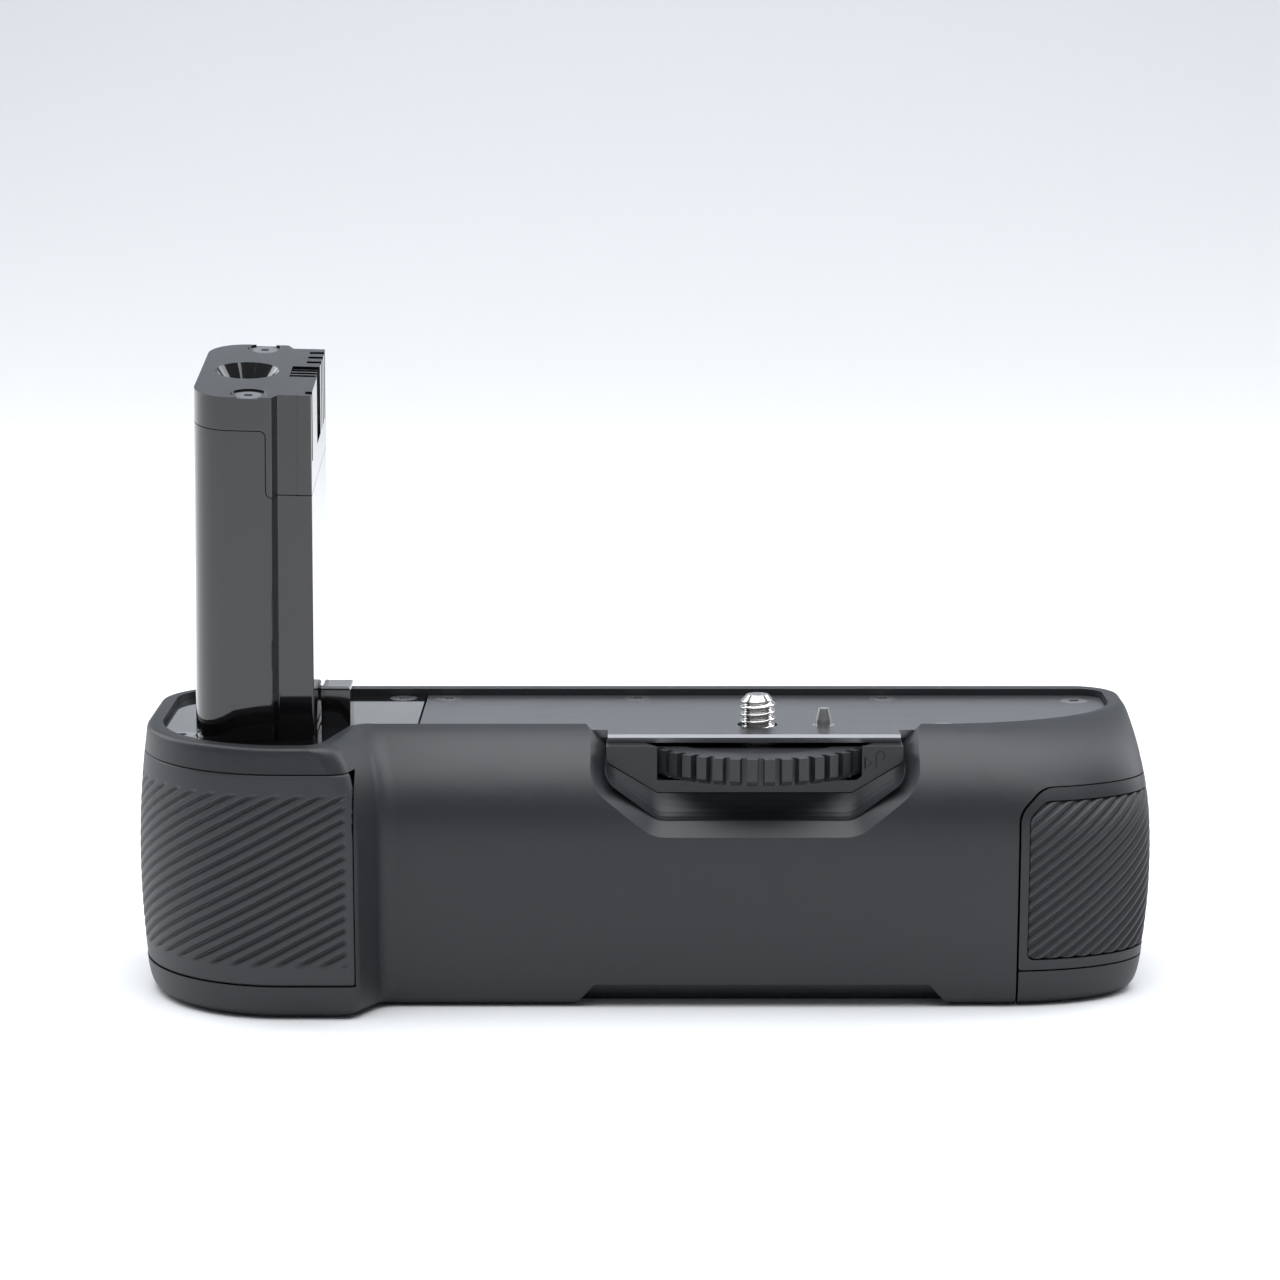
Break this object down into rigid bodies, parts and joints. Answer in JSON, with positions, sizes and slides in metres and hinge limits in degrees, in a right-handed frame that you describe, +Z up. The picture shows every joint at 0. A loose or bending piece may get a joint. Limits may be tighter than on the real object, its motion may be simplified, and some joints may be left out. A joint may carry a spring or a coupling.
{
  "type": "camera battery grip",
  "caption": "Battery grip that screws under a camera, with a dummy battery on its handle and a tray of flat packs that slides out of its end.",
  "frame": {"origin": "centre of the tripod socket's mouth on the base plane, under the camera screw", "axes": "+X along the grip from the handle to the tray's end, +Y towards the back, +Z up"},
  "size_m": [0.1802, 0.061, 0.1141],
  "materials": {
    "charcoal_plastic": "fine matt grain",
    "gloss_black": "gloss",
    "dark_plate": "brushed, anodised dark",
    "ribbed_rubber": "matt, ribbed",
    "black_plastic": "matt",
    "bright_steel": "bright nickel",
    "dark_steel": "black oxide",
    "plain_steel": "plain",
    "gold_contact": "gold plated",
    "green_board": "solder mask",
    "amber_flex": "film"
  },
  "bodies": {
    "grip": {"main_housing": "charcoal_plastic", "base_cover": "charcoal_plastic", "end_bumper": "charcoal_plastic", "stalk_shell": "gloss_black", "stalk_cap": "gloss_black", "stalk_base_insert": "gloss_black", "top_plate": "dark_plate", "handle_grip_pad": "ribbed_rubber", "wheel_bracket": "black_plastic", "dock_connector": "black_plastic", "tripod_bush": "bright_steel", "top_plate_screws": "dark_steel", "insert_screws": "dark_steel", "stalk_cap_screws": "dark_steel", "base_screws": "plain_steel", "bumper_screws": "plain_steel", "board_screws": "plain_steel", "locating_pin": "plain_steel", "tray_runner": "plain_steel", "latch_pin": "plain_steel", "latch_spring": "plain_steel", "dock_pins": "gold_contact", "stalk_contacts": "gold_contact", "power_board": "green_board", "stalk_board": "green_board"},
    "wheel": {"screw_wheel": "black_plastic", "camera_screw": "bright_steel", "thrust_washer": "plain_steel", "retaining_clip": "plain_steel"},
    "tray": {"battery_tray": "black_plastic", "bay_contact_blocks": "black_plastic", "bay_contacts": "gold_contact", "tray_plug": "black_plastic", "tray_flex": "amber_flex", "tray_end": "charcoal_plastic", "tray_end_pad": "ribbed_rubber", "tray_end_screws": "plain_steel"},
    "latch": {"latch_lever": "black_plastic"}
  },
  "joints": [
    {"name": "wheel_spin", "type": "hinge", "parent": "grip", "child": "wheel", "pos_m": [0, 0, 0.0401], "axis": [0, 0, 1], "continuous": true},
    {"name": "tray_slide", "type": "slide", "parent": "grip", "child": "tray", "axis": [1, 0, 0], "range_m": [0, 0.132]},
    {"name": "latch_press", "type": "hinge", "parent": "grip", "child": "latch", "pos_m": [0.0575, 0.021, 0.0044], "axis": [0, -1, 0], "range_deg": [0, 8], "stiffness_Nm_per_rad": 0.03, "springref_deg": -5.73, "deforming": ["latch_spring"]}
  ]
}
